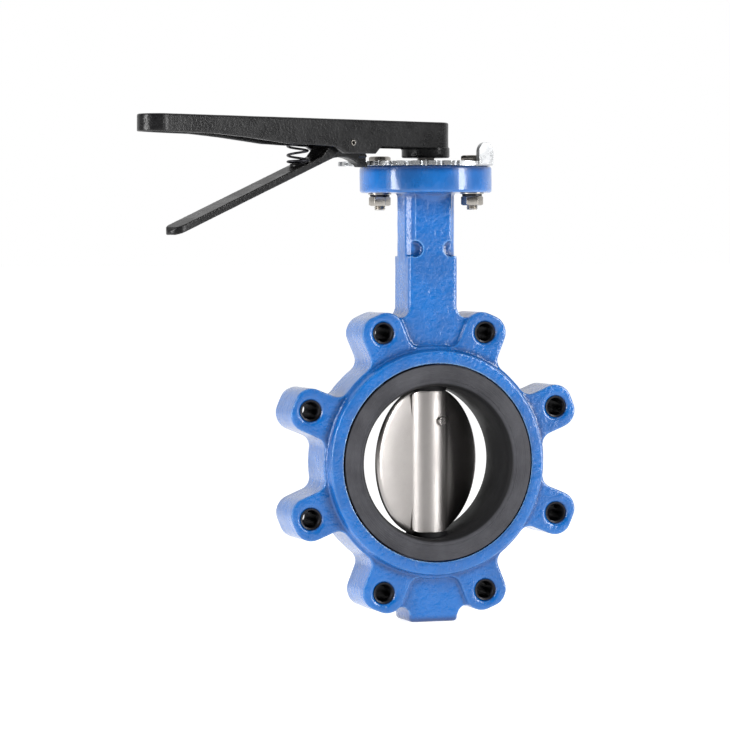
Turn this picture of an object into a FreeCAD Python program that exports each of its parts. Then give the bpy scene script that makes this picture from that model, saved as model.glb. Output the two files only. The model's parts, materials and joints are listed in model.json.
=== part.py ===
"""Lug-type butterfly valve, DN 100 (4 in), soft seated, with a squeeze-trigger notch lever.

Frame, in millimetres: the origin is the centre of the bore on the stem axis, +Z runs up the
stem, the pipe runs along Y and the front face is towards -Y. The valve is drawn 30 degrees open.
Each piece is one solid, or one group of like solids, in parts/NAME.step.
"""
import FreeCAD, Part
import os
from math import asin, cos, hypot, radians, sin, sqrt, tan

Vec = FreeCAD.Vector
ORIGIN = Vec(0, 0, 0)
X_AXIS = Vec(1, 0, 0)
Y_AXIS = Vec(0, 1, 0)
Z_AXIS = Vec(0, 0, 1)

# ---- driving dimensions -----------------------------------------------------------------
FACE_TO_FACE = 52.0          # between the two raised faces (EN 558 series 20)
LUG_PCD = 190.5              # 4 in class 150 drilling
LUG_COUNT = 8
LUG_HOLE_R = 6.75            # tapping drill for 5/8-11 UNC
LUG_MOUTH_R = 9.0            # cone at each mouth, where it meets the lug's face
LUG_MOUTH_DEPTH = 2.2
LUG_HALF_WIDTH = 15.0
LUG_REACH = 12.8             # metal beyond the hole's centre
LUG_CORNER_R = 12.0
LUG_ROOT_R = 8.0
LUG_HALF_THICK = 19.0

RING_R = 79.0                # waist between the lugs
RAISED_R = 76.0              # raised face, outer radius
BODY_BORE_R = 60.5
SEAT_POCKET_R = 67.0
SEAT_POCKET_Y = 20.5         # the pocket's floor

STEM_R = 8.0
STEM_BORE_R = 8.6
STEM_BOTTOM = -88.0
HOUSING_R = 11.0             # bored pockets for bushings and plug
NECK_BUSHING_Z = (150.0, 186.0)
UPPER_BUSHING_Z = (60.6, 84.5)
LOWER_BUSHING_Z = (-86.0, -60.6)

NECK_BLOCK_X = 17.4
NECK_BLOCK_Y = 16.3
NECK_BLOCK_TOP = 140.0
NECK_CORNER = [(17.6, 8.6), (14.2, 12.2), (12.7, NECK_BLOCK_Y)]   # a quarter of the upper section
NECK_POCKET_R = 5.3          # round end of each corner's groove, just above the block
NECK_POCKET_Y = 12.2
WEB_R = 6.0                  # hollow between the neck's side and the lug beside it
CAST_R = 2.5                 # rounding of the neck's and the boss's edges
FLARE = 6.5                  # how far the neck widens under the top flange
FLANGE_R = 45.0
FLANGE_TOP = 201.0
FLANGE_THICK = 18.0
FLANGE_PCD = 70.0            # ISO 5211 F07
FLANGE_HOLE_R = 4.5
FLANGE_HOLE_ANGLES = (45, 135, 225, 315)
BOSS_HALF = 17.2
BOSS_BOTTOM = -109.0

SEAT_BORE_R = 51.8
SEAT_LIP_R = 66.4
SEAT_FACE_Y = 27.5           # the lip stands proud of the body face
SEAT_FLAT_Z = 48.3           # flat round the stem port
SEAT_FLAT_R = 14.0

DISC_R = 51.4
DISC_HUB_R = 13.0
DISC_FLAT_Z = 48.0
DISC_HALF_THICK = 4.2        # of the plate beside the hub
DISC_FILLET_R = 12.0         # between the plate and the hub
PIN_Z = 27.7
PIN_SMALL_R = 3.0
PIN_LENGTH = 31.0
O_RING_Z = (168.0, 177.0)
CIRCLIP_Z = 196.4

OPEN_ANGLE = 30.0            # how far open the valve is drawn
LEVER_ANGLE = 180.0 + OPEN_ANGLE

PLATE_THICK = 3.0
PLATE_OUTER_R = 60.8
PLATE_HOLE_R = 10.0
NOTCH_COUNT = 10
NOTCH_STEP = 10.0
NOTCH_HALF_WIDTH = 3.0
NOTCH_FLOOR_R = 55.0
SECTOR_MARGIN = 6.5          # metal beyond the first and the last notch, degrees
EAR_R = 12.0                 # round each bolt hole
PLATE_BOLT_ANGLES = (135, 315)
TAB_ANGLE = 304.0            # direction of the tab's foot from the stem axis
TAB_REACH = 50.0
TAB_FACING = 293.0           # direction that the tab's flat looks in
TAB_HALF = 6.5
TAB_HEIGHT = 15.5

LEVER_TOP = 230.8
LEVER_TIP = 270.6            # distance from the stem axis
LEVER_TAIL_R = 15.6
LEVER_HUB_R = 16.4           # of the collar under the tail
LEVER_TAIL_BOTTOM = 213.0
LEVER_TIP_HALF = 12.0
LEVER_WALL = 3.2
LEVER_SKIN = 3.5
HUB_BOTTOM = 206.8
STEM_SQUARE = 11.0
STEM_TOP = 219.6
SCREW_SEAT_Z = 223.6

PIVOT_L = 89.3               # trigger pivot, along the lever
PIVOT_Z = 215.4
PIVOT_PIN_R = 2.0
RUNNING_FIT = 0.05
TRIGGER_HALF = 7.5
TRIGGER_END = 247.0
TRIGGER_THICK = 4.9
TRIGGER_BOSS_R = 6.5
WEB_HALF_WIDTH = 3.5         # arch between the squeeze bar and the finger
FINGER_HALF_WIDTH = 2.2
FINGER_L = 72.0              # the finger is the trigger's end below this
SPRING_L = 128.0
SPRING_R = 6.6
SPRING_WIRE_R = 0.8
SPRING_TURNS = 4.5

BOLT_R = 4.0                 # M8
BOLT_HEX = 13.0
BOLT_HEAD = 4.2
BOLT_TURN = 12.0             # how far the hexagons happen to be turned
NUT_HEIGHT = 6.5
WASHER_THICK = 0.9
SPRING_WASHER_THICK = 1.3


# ---- helpers ----------------------------------------------------------------------------
def cyl(radius, height, base=ORIGIN, axis=Z_AXIS):
    return Part.makeCylinder(radius, height, base, axis)


def box(x0, x1, y0, y1, z0, z1):
    return Part.makeBox(x1 - x0, y1 - y0, z1 - z0, Vec(x0, y0, z0))


def tube(outer, inner, z0, z1):
    """Upright ring on the stem axis."""
    return cyl(outer, z1 - z0, Vec(0, 0, z0)).cut(cyl(inner, z1 - z0, Vec(0, 0, z0)))


def turned(shape, angle, centre=ORIGIN, axis=Z_AXIS):
    done = shape.copy()
    done.rotate(centre, axis, angle)
    return done


def along_lever(shape):
    """Turns a shape drawn along +X onto the lever's line."""
    return turned(shape, LEVER_ANGLE)


def ring_profile(points, axis=Y_AXIS):
    """Revolves a closed outline of (radius, height) points about the axis."""
    if axis == Y_AXIS:
        corners = [Vec(r, h, 0) for r, h in points]
    else:
        corners = [Vec(r, 0, h) for r, h in points]
    face = Part.Face(Part.makePolygon(corners + corners[:1]))
    return face.revolve(ORIGIN, axis, 360)


def side_plate(points, half_width):
    """Extrudes an outline of (along, up) points to both sides of the lever's middle plane."""
    corners = [Vec(l, -half_width, z) for l, z in points]
    face = Part.Face(Part.makePolygon(corners + corners[:1]))
    return face.extrude(Vec(0, 2 * half_width, 0))


def hex_prism(across_flats, height, base, turn=0.0):
    radius = across_flats / 2 / cos(radians(30))
    corners = []
    for step in range(6):
        angle = radians(turn + 60 * step)
        corners.append(base + Vec(radius * cos(angle), radius * sin(angle), 0))
    face = Part.Face(Part.makePolygon(corners + corners[:1]))
    return face.extrude(Vec(0, 0, height))


def chamfered_hex(across_flats, height, base, turn, both_ends=False):
    """Hexagon with the round chamfer that a turned head or nut has."""
    rim = across_flats / 2 - 0.3
    corner = across_flats / 2 / cos(radians(30)) + 0.2
    drop = (corner - rim) * tan(radians(30))
    outline = [(corner, height - drop), (rim, height), (0, height), (0, 0)]
    outline += [(rim, 0), (corner, drop)] if both_ends else [(corner, 0)]
    turned_blank = ring_profile(outline, Z_AXIS)
    turned_blank.translate(base)
    return hex_prism(across_flats, height, base, turn).common(turned_blank)


def on_circle(radius, angle, z=0.0):
    return Vec(radius * cos(radians(angle)), radius * sin(radians(angle)), z)


def softened(shape, picks, radius):
    """Fillets the picked edges, largest radius that the geometry takes."""
    edges = [edge for edge in shape.Edges if picks(edge)]
    for share in (1.0, 0.75, 0.5, 0.3):
        try:
            done = shape.makeFillet(radius * share, edges)
            if done.isValid() and done.Volume > 0:
                return done
        except Exception:
            continue
    print("fillet left out:", radius, len(edges), "edges")
    return shape


def middle(edge):
    return edge.valueAt((edge.FirstParameter + edge.LastParameter) / 2)


def runs_along(edge, axis):
    if not isinstance(edge.Curve, Part.Line):
        return False
    return abs(edge.tangentAt(edge.FirstParameter).dot(axis)) > 0.999


# ---- valve body -------------------------------------------------------------------------
def lug_angles():
    return [360.0 / LUG_COUNT * (i + 0.5) for i in range(LUG_COUNT)]


def lug_plate():
    """The waist ring with its eight lugs, outline edges blended."""
    plate = cyl(RING_R, 2 * LUG_HALF_THICK, Vec(0, -LUG_HALF_THICK, 0), Y_AXIS)
    reach = LUG_PCD / 2 + LUG_REACH
    for angle in lug_angles():
        arm = box(50, reach, -LUG_HALF_THICK, LUG_HALF_THICK, -LUG_HALF_WIDTH, LUG_HALF_WIDTH)
        corners = [e for e in arm.Edges if runs_along(e, Y_AXIS) and middle(e).x > reach - 1]
        arm = arm.makeFillet(LUG_CORNER_R, corners)
        plate = plate.fuse(turned(arm, -angle, ORIGIN, Y_AXIS))
    plate = plate.removeSplitter()

    def root(edge):
        if not runs_along(edge, Y_AXIS):
            return False
        place = middle(edge)
        return abs(hypot(place.x, place.z) - RING_R) < 0.6

    return softened(plate, root, LUG_ROOT_R)


def face_ring():
    half = FACE_TO_FACE / 2
    outline = [(50, -half), (RAISED_R - 0.8, -half), (RAISED_R, -half + 0.8)]
    outline += [(RAISED_R + 1.2, -LUG_HALF_THICK + 0.5), (RAISED_R + 1.2, LUG_HALF_THICK - 0.5)]
    outline += [(RAISED_R, half - 0.8), (RAISED_R - 0.8, half), (50, half)]
    return ring_profile(outline)


def neck():
    """Square lower block, then a column with a groove down each corner, up to the top flange."""
    under = FLANGE_TOP - FLANGE_THICK
    block = box(-NECK_BLOCK_X, NECK_BLOCK_X, -NECK_BLOCK_Y, NECK_BLOCK_Y, 60, NECK_BLOCK_TOP)
    upright = [e for e in block.Edges if runs_along(e, Z_AXIS)]
    block = block.makeFillet(CAST_R, upright)
    outline = []
    for sx, sy, step in ((1, 1, 1), (-1, 1, -1), (-1, -1, 1), (1, -1, -1)):
        outline += [Vec(sx * x, sy * y, NECK_BLOCK_TOP - 6) for x, y in NECK_CORNER[::step]]
    column = Part.Face(Part.makePolygon(outline + outline[:1]))
    column = column.extrude(Vec(0, 0, under + 7 - NECK_BLOCK_TOP))
    flare = Part.makeCone(NECK_BLOCK_Y - 2, NECK_BLOCK_Y - 2 + FLARE, 7, Vec(0, 0, under - 7))
    square_flare = box(-18.5, 18.5, -18.5, 18.5, under - 7, under)
    whole = block.fuse([column, flare.common(square_flare)])
    for sx in (-1, 1):
        for sy in (-1, 1):
            start = Vec(sx * NECK_CORNER[-1][0], sy * NECK_POCKET_Y, NECK_BLOCK_TOP + 5)
            whole = whole.cut(cyl(NECK_POCKET_R, 10, start, Vec(0, sy, 0)))
    return whole


def top_flange():
    flange = cyl(FLANGE_R, FLANGE_THICK, Vec(0, 0, FLANGE_TOP - FLANGE_THICK))
    return flange.makeFillet(1.6, [e for e in flange.Edges if isinstance(e.Curve, Part.Circle)])


def bottom_boss():
    boss = box(-BOSS_HALF, BOSS_HALF, -NECK_BLOCK_Y, NECK_BLOCK_Y, BOSS_BOTTOM, -60)
    upright = [e for e in boss.Edges if runs_along(e, Z_AXIS)]
    foot = [e for e in boss.Edges if middle(e).z < BOSS_BOTTOM + 0.1]
    return boss.makeFillet(CAST_R, upright + foot)


def web(side):
    """Panel that fills the gap between the neck and its two lugs; side is 1 above, -1 below."""
    lug = radians(90 - 180.0 / LUG_COUNT)
    reach = LUG_PCD / 2 + LUG_REACH - LUG_CORNER_R
    inset = LUG_HALF_WIDTH - LUG_CORNER_R
    corner_x = reach * cos(lug) - inset * sin(lug)
    corner_z = reach * sin(lug) + inset * cos(lug)
    hollow_x = NECK_BLOCK_X + WEB_R
    hollow_z = corner_z + sqrt((LUG_CORNER_R + WEB_R - 0.15) ** 2 - (corner_x - hollow_x) ** 2)
    right = [(corner_x, 80), (corner_x, corner_z), (hollow_x, hollow_z), (NECK_BLOCK_X, hollow_z)]
    outline = right + [(-x, z) for x, z in reversed(right)]
    corners = [Vec(x, -NECK_BLOCK_Y, side * z) for x, z in outline]
    panel = Part.Face(Part.makePolygon(corners + corners[:1])).extrude(Vec(0, 2 * NECK_BLOCK_Y, 0))
    for sx in (-1, 1):
        start = Vec(sx * hollow_x, -30, side * hollow_z)
        panel = panel.cut(cyl(WEB_R, 60, start, Y_AXIS))
    return panel


def stem_bore():
    """Everything that is bored on the stem axis, upper and lower."""
    upper = cyl(STEM_BORE_R, FLANGE_TOP + 1 - 50, Vec(0, 0, 50))
    upper = upper.fuse(cyl(HOUSING_R, UPPER_BUSHING_Z[1] + 0.5 - 50, Vec(0, 0, 50)))
    upper = upper.fuse(cyl(HOUSING_R, FLANGE_TOP + 1 - NECK_BUSHING_Z[0], Vec(0, 0, NECK_BUSHING_Z[0])))
    lower = cyl(HOUSING_R, -BOSS_BOTTOM + 1 - 50, Vec(0, 0, BOSS_BOTTOM - 1))
    return [upper, lower]


def valve_body():
    half = FACE_TO_FACE / 2
    body = lug_plate().fuse([face_ring(), neck(), top_flange(), bottom_boss(), web(1), web(-1)])
    cuts = [cyl(BODY_BORE_R, 2 * half + 2, Vec(0, -half - 1, 0), Y_AXIS)]
    for side in (-1, 1):
        start = Vec(0, side * SEAT_POCKET_Y, 0)
        cuts.append(cyl(SEAT_POCKET_R, 10, start, Vec(0, side, 0)))
    for angle in lug_angles():
        place = Vec(LUG_PCD / 2 * cos(radians(angle)), 0, LUG_PCD / 2 * sin(radians(angle)))
        cuts.append(cyl(LUG_HOLE_R, 60, place - Vec(0, 30, 0), Y_AXIS))
        for side in (-1, 1):
            slope = (LUG_MOUTH_R - LUG_HOLE_R) / LUG_MOUTH_DEPTH
            tall = LUG_MOUTH_DEPTH + 3
            mouth = place + Vec(0, side * (LUG_HALF_THICK - LUG_MOUTH_DEPTH), 0)
            cone = Part.makeCone(LUG_HOLE_R, LUG_HOLE_R + slope * tall, tall, mouth, Vec(0, side, 0))
            cuts.append(cone)
    for angle in FLANGE_HOLE_ANGLES:
        cuts.append(cyl(FLANGE_HOLE_R, 30, on_circle(FLANGE_PCD / 2, angle, 180)))
    return body.cut(cuts + stem_bore()).removeSplitter()


# ---- seat -------------------------------------------------------------------------------
def seat_liner():
    """Rubber liner: bore, a lip wrapped over each face, flats round the two stem ports."""
    right = [(SEAT_BORE_R, 16.0), (52.0, 21.0), (52.4, 23.6), (53.1, 25.4), (54.1, 26.7)]
    right += [(55.3, 27.35), (56.6, SEAT_FACE_Y), (SEAT_LIP_R - 1.0, SEAT_FACE_Y)]
    right += [(SEAT_LIP_R, SEAT_FACE_Y - 1.0), (SEAT_LIP_R, SEAT_POCKET_Y + 0.15)]
    right += [(BODY_BORE_R - 0.3, SEAT_POCKET_Y + 0.15)]
    left = [(r, -y) for r, y in reversed(right)]
    liner = ring_profile(right + left)
    for side in (-1, 1):
        flat = cyl(SEAT_FLAT_R, 6, Vec(0, 0, side * SEAT_FLAT_Z), Vec(0, 0, side))
        liner = liner.fuse(flat)
    port = cyl(STEM_R + 0.1, 200, Vec(0, 0, -100))
    return liner.cut(port).removeSplitter()


# ---- disc, stem and pin -----------------------------------------------------------------
def disc():
    """Plate with a bevelled rim, a full-height hub with swept roots and a bore for the stem."""
    outline = [(0, -DISC_HALF_THICK), (36, -DISC_HALF_THICK), (48.6, -2.5), (50.2, -2.1), (DISC_R, -0.9)]
    outline += [(r, -y) for r, y in reversed(outline)]
    plate = ring_profile(outline)
    hub = cyl(DISC_HUB_R, 2 * DISC_FLAT_Z, Vec(0, 0, -DISC_FLAT_Z))
    sweep_y = DISC_HALF_THICK + DISC_FILLET_R
    reach = DISC_HUB_R + DISC_FILLET_R
    sweep_x = sqrt(reach ** 2 - sweep_y ** 2)
    root_y = sweep_y * DISC_HUB_R / reach
    roots = box(-sweep_x, sweep_x, -root_y, root_y, -DISC_FLAT_Z, DISC_FLAT_Z)
    for sx in (-1, 1):
        for sy in (-1, 1):
            roots = roots.cut(cyl(DISC_FILLET_R, 120, Vec(sx * sweep_x, sy * sweep_y, -60)))
    roots = roots.common(cyl(DISC_R - 1.6, 60, Vec(0, -30, 0), Y_AXIS))
    solid = plate.fuse([hub, roots]).removeSplitter()
    ring = tube(SEAT_FLAT_R + 0.5, 0.1, DISC_FLAT_Z, 60)
    solid = solid.cut([ring, ring.mirror(ORIGIN, Z_AXIS)])
    solid = solid.cut([cyl(STEM_R + 0.02, 120, Vec(0, 0, -60)), pin_blank(0.02)])
    return turned(solid, OPEN_ANGLE)


def pin_blank(extra=0.0):
    """Taper pin 1:50 along the disc's normal, through hub and stem."""
    front = Vec(0, -PIN_LENGTH / 2, PIN_Z)
    large = PIN_SMALL_R + PIN_LENGTH / 100
    return Part.makeCone(large + extra, PIN_SMALL_R + extra, PIN_LENGTH, front, Y_AXIS)


def taper_pin():
    pin = pin_blank()
    pin = pin.makeChamfer(0.5, [e for e in pin.Edges if isinstance(e.Curve, Part.Circle)])
    return turned(pin, OPEN_ANGLE)


def stem():
    """Round stem with a drilled pin hole, a circlip groove, a square top and a tapped end."""
    shaft = cyl(STEM_R, FLANGE_TOP - 1 - STEM_BOTTOM, Vec(0, 0, STEM_BOTTOM))
    half = STEM_SQUARE / 2
    square = box(-half, half, -half, half, FLANGE_TOP - 2, STEM_TOP)
    square = turned(square.common(cyl(STEM_R - 0.1, 60, Vec(0, 0, 180))), 45)
    shaft = shaft.fuse(square).removeSplitter()
    rims = [e for e in shaft.Edges if isinstance(e.Curve, Part.Circle)]
    rims = [e for e in rims if middle(e).z < STEM_BOTTOM + 0.1]
    shaft = shaft.makeChamfer(1.0, rims)
    groove = tube(STEM_R + 1, STEM_R - 0.9, CIRCLIP_Z - 0.2, CIRCLIP_Z + 1.2)
    tapped = cyl(3.4, 16, Vec(0, 0, STEM_TOP - 16))
    shaft = shaft.cut([groove, tapped, pin_blank(0.02)])
    return turned(shaft, OPEN_ANGLE)


# ---- bushings, seals and plug -----------------------------------------------------------
def bushing(span):
    return tube(HOUSING_R - 0.02, STEM_R + RUNNING_FIT, *span)


def neck_bushing():
    """Long bushing with two inside grooves for the O-rings."""
    grooves = [tube(STEM_R + 1.9, STEM_R, z - 1.2, z + 1.2) for z in O_RING_Z]
    return bushing(NECK_BUSHING_Z).cut(grooves)


def upper_bushing():
    return bushing(UPPER_BUSHING_Z)


def lower_bushing():
    return bushing(LOWER_BUSHING_Z)


def stem_orings():
    rings = [Part.makeTorus(STEM_R + 0.95, 0.88, Vec(0, 0, z)) for z in O_RING_Z]
    return Part.makeCompound(rings)


def weather_seal():
    outline = [(STEM_R + 0.05, 188.2), (STEM_R + 0.9, 187.0), (HOUSING_R - 0.05, 187.0)]
    outline += [(HOUSING_R - 0.05, 192.5), (STEM_R + 1.2, 192.5), (STEM_R + 0.05, 191.4)]
    return ring_profile(outline, Z_AXIS)


def thrust_washer():
    return tube(HOUSING_R - 0.1, STEM_R + 0.3, 193.8, 195.8)


def stem_circlip():
    """Open ring with two eared ends, in the stem's groove."""
    clip = tube(STEM_R + 1.7, STEM_R - 0.85, CIRCLIP_Z, CIRCLIP_Z + 1)
    ears = box(-3.2, 3.2, STEM_R - 0.4, STEM_R + 2.2, CIRCLIP_Z, CIRCLIP_Z + 1)
    clip = clip.fuse(ears).cut(box(-1.1, 1.1, 0, 20, 190, 200))
    for side in (-1, 1):
        clip = clip.cut(cyl(0.5, 4, Vec(side * 2.2, STEM_R + 0.9, 195)))
    return turned(clip.removeSplitter(), OPEN_ANGLE)


def bottom_plug():
    """Flush socket plug at the bottom of the stem bore."""
    plug = cyl(HOUSING_R - 0.02, 11.5, Vec(0, 0, BOSS_BOTTOM + 0.8))
    plug = plug.makeChamfer(0.8, [e for e in plug.Edges if isinstance(e.Curve, Part.Circle)])
    plug = plug.cut(tube(HOUSING_R + 1, HOUSING_R - 2.0, -100.6, -98.6))
    return plug.cut(hex_prism(10.0, 6.5, Vec(0, 0, BOSS_BOTTOM + 0.8)))


def plug_seal():
    return Part.makeTorus(HOUSING_R - 1.0, 0.9, Vec(0, 0, -99.6))


# ---- index plate and its fasteners ------------------------------------------------------
def plate_bolt_places(z):
    return [on_circle(FLANGE_PCD / 2, angle, z) for angle in PLATE_BOLT_ANGLES]


def sector(radius, start, end, height):
    face_edges = [
        Part.LineSegment(ORIGIN, on_circle(radius, start)).toShape(),
        Part.Arc(
            on_circle(radius, start), on_circle(radius, (start + end) / 2), on_circle(radius, end)
        ).toShape(),
        Part.LineSegment(on_circle(radius, end), ORIGIN).toShape(),
    ]
    return Part.Face(Part.Wire(face_edges)).extrude(Vec(0, 0, height))


def index_plate():
    """Notched sector on the top flange, with bolt ears and an upright stop tab."""
    plate = sector(PLATE_OUTER_R, 180 - SECTOR_MARGIN, 270 + SECTOR_MARGIN, PLATE_THICK)
    plate = plate.fuse(cyl(22, PLATE_THICK))
    for angle in PLATE_BOLT_ANGLES:
        centre = on_circle(FLANGE_PCD / 2, angle)
        arm = box(0, FLANGE_PCD / 2, -EAR_R, EAR_R, 0, PLATE_THICK)
        plate = plate.fuse([turned(arm, angle), cyl(EAR_R, PLATE_THICK, centre)])
    plate = plate.fuse(sector(TAB_REACH, 270, TAB_ANGLE + 6, PLATE_THICK)).removeSplitter()
    for step in range(NOTCH_COUNT):
        slot = box(NOTCH_FLOOR_R + NOTCH_HALF_WIDTH, 70, -NOTCH_HALF_WIDTH, NOTCH_HALF_WIDTH, -1, 9)
        slot = slot.fuse(cyl(NOTCH_HALF_WIDTH, 10, Vec(NOTCH_FLOOR_R + NOTCH_HALF_WIDTH, 0, -1)))
        plate = plate.cut(turned(slot, 180 + NOTCH_STEP * step))
    plate = plate.cut(cyl(PLATE_HOLE_R, 10, Vec(0, 0, -1)))
    for place in plate_bolt_places(-1):
        plate = plate.cut(cyl(FLANGE_HOLE_R, 10, place))
    plate = plate.fuse(stop_tab()).removeSplitter()
    plate.translate(Vec(0, 0, FLANGE_TOP))
    return plate


def stop_tab():
    """Round-topped tab, bent up square from the plate."""
    half_thick = PLATE_THICK / 2
    tab = box(-half_thick, half_thick, -TAB_HALF, TAB_HALF, 0, TAB_HEIGHT - TAB_HALF)
    crown = Vec(-half_thick, 0, TAB_HEIGHT - TAB_HALF)
    foot = box(-EAR_R, half_thick, -TAB_HALF, TAB_HALF, 0, PLATE_THICK)
    tab = tab.fuse([cyl(TAB_HALF, PLATE_THICK, crown, X_AXIS), foot]).removeSplitter()
    outer_bend = [e for e in tab.Edges if runs_along(e, Y_AXIS)]
    outer_bend = [e for e in outer_bend if middle(e).x > half_thick - 0.1 and middle(e).z < 0.1]
    tab = tab.makeFillet(1.6, outer_bend)
    tab = turned(tab, TAB_FACING)
    tab.translate(on_circle(TAB_REACH, TAB_ANGLE))
    return tab


def plate_bolts():
    bolts = []
    top = FLANGE_TOP + PLATE_THICK
    grip = PLATE_THICK + FLANGE_THICK + WASHER_THICK
    for place in plate_bolt_places(top):
        head = chamfered_hex(BOLT_HEX, BOLT_HEAD, place, BOLT_TURN)
        length = grip + NUT_HEIGHT + 4.2
        shank = cyl(BOLT_R, length, place - Vec(0, 0, length))
        ends = [e for e in shank.Edges if middle(e).z < top - length + 0.1 and e.Length > 1]
        bolts.append(head.fuse(shank.makeChamfer(0.9, ends)).removeSplitter())
    return Part.makeCompound(bolts)


def under_flange_rings(outer, inner, drop, thick):
    """One ring on each bolt, its top face a drop below the flange."""
    places = plate_bolt_places(FLANGE_TOP - FLANGE_THICK - drop - thick)
    return [cyl(outer, thick, place).cut(cyl(inner, thick, place)) for place in places]


def plate_washers():
    return Part.makeCompound(under_flange_rings(8.0, 4.2, 0.0, WASHER_THICK))


def plate_spring_washers():
    """Split washers."""
    rings = []
    for ring in under_flange_rings(6.8, 4.1, WASHER_THICK, SPRING_WASHER_THICK):
        place = Vec(ring.BoundBox.Center.x, ring.BoundBox.Center.y, ring.BoundBox.ZMin)
        slit = Part.makeBox(0.8, 9, SPRING_WASHER_THICK, place - Vec(0.4, 0, 0))
        rings.append(ring.cut(turned(slit, 40, place)))
    return Part.makeCompound(rings)


def plate_nuts():
    nuts = []
    drop = FLANGE_THICK + WASHER_THICK + SPRING_WASHER_THICK + NUT_HEIGHT
    for place in plate_bolt_places(FLANGE_TOP - drop):
        nut = chamfered_hex(BOLT_HEX, NUT_HEIGHT, place, BOLT_TURN, both_ends=True)
        nuts.append(nut.cut(cyl(BOLT_R + 0.02, NUT_HEIGHT, place)))
    return Part.makeCompound(nuts)


# ---- lever ------------------------------------------------------------------------------
def lever_half_width(along):
    share = min(max(along / LEVER_TIP, 0), 1)
    return LEVER_TAIL_R + (LEVER_TIP_HALF - LEVER_TAIL_R) * share


def lever_plan(inset, z, height):
    """Plan outline of the lever: round tail, tapering sides, round tip."""
    tail = LEVER_TAIL_R - inset
    tip = LEVER_TIP_HALF - inset
    end = LEVER_TIP - LEVER_TIP_HALF
    slope = asin((LEVER_TAIL_R - LEVER_TIP_HALF) / end)
    up = Vec(sin(slope), cos(slope), 0)
    down = Vec(sin(slope), -cos(slope), 0)
    far = Vec(end, 0, 0)
    edges = [
        Part.LineSegment(up * tail, far + up * tip).toShape(),
        Part.Arc(far + up * tip, far + Vec(tip, 0, 0), far + down * tip).toShape(),
        Part.LineSegment(far + down * tip, down * tail).toShape(),
        Part.Arc(down * tail, Vec(-tail, 0, 0), up * tail).toShape(),
    ]
    solid = Part.Face(Part.Wire(edges)).extrude(Vec(0, 0, height))
    solid.translate(Vec(0, 0, z))
    return solid


def lever_handle():
    """Cast channel, open underneath, with a solid hub that has a square socket."""
    tail_bottom = LEVER_TAIL_BOTTOM
    lower_edge = [(-20, tail_bottom), (62.0, tail_bottom), (67.0, 208.4), (97.0, 208.4), (106.0, 212.6)]
    lower_edge += [(150.0, 213.8), (190.0, 217.3), (218.0, 219.0), (262.0, 219.6), (280.0, 219.6)]
    keep = side_plate(lower_edge + [(280, 240), (-20, 240)], 30)
    outer = lever_plan(0, 200, LEVER_TOP - 200).common(keep)
    outer = softened(outer, lambda e: middle(e).z > LEVER_TOP - 0.05, 1.2)
    hollow = lever_plan(LEVER_WALL, 190, LEVER_TOP - LEVER_SKIN - 190)
    hollow = hollow.cut(box(-30, 11, -30, 30, 150, 240))
    hollow = softened(hollow, lambda e: middle(e).z > LEVER_TOP - LEVER_SKIN - 0.05, 2.0)
    lever = outer.cut(hollow)
    hub = cyl(LEVER_HUB_R, LEVER_TAIL_BOTTOM + 0.5 - HUB_BOTTOM, Vec(0, 0, HUB_BOTTOM))
    foot = [e for e in hub.Edges if middle(e).z < HUB_BOTTOM + 0.1 and e.Length > 50]
    core = cyl(LEVER_TAIL_R, LEVER_TOP - 1.6 - HUB_BOTTOM, Vec(0, 0, HUB_BOTTOM))
    lever = lever.fuse([hub.makeFillet(1.0, foot), core]).removeSplitter()
    half = STEM_SQUARE / 2 + 0.06
    socket = turned(box(-half, half, -half, half, HUB_BOTTOM - 1, STEM_TOP + 0.4), 45)
    cuts = [socket, cyl(4.4, 30, Vec(0, 0, 205)), cyl(9.2, 20, Vec(0, 0, SCREW_SEAT_Z))]
    cuts.append(cyl(PIVOT_PIN_R, 60, Vec(PIVOT_L, -30, PIVOT_Z), Y_AXIS))
    return along_lever(lever.cut(cuts))


def lever_washer():
    return tube(8.0, 4.3, SCREW_SEAT_Z, SCREW_SEAT_Z + 1.6)


def lever_screw():
    """M8 button-head socket screw into the end of the stem."""
    seat = SCREW_SEAT_Z + 1.6
    head = cyl(7.0, 4.4, Vec(0, 0, seat))
    head = head.makeFillet(3.4, [e for e in head.Edges if middle(e).z > seat + 4 and e.Length > 20])
    shank = cyl(4.0, SCREW_SEAT_Z + 1.6 - STEM_TOP, Vec(0, 0, STEM_TOP))
    thread = cyl(3.38, 13.0, Vec(0, 0, STEM_TOP - 13.0))
    screw = head.fuse([shank, thread])
    return along_lever(screw.cut(hex_prism(5.0, 4.0, Vec(0, 0, seat + 1.9))))


# ---- trigger ----------------------------------------------------------------------------
def bar_line(along, lift=0.0):
    """Height of the squeeze bar's underside: it falls away from the pivot."""
    return 176.5 + 0.351 * (182.7 - along) + lift


def spring_foot():
    """Height of the level seat that the spring stands on, sunk into the sloping bar."""
    return bar_line(SPRING_L, TRIGGER_THICK) + 0.2


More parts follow.
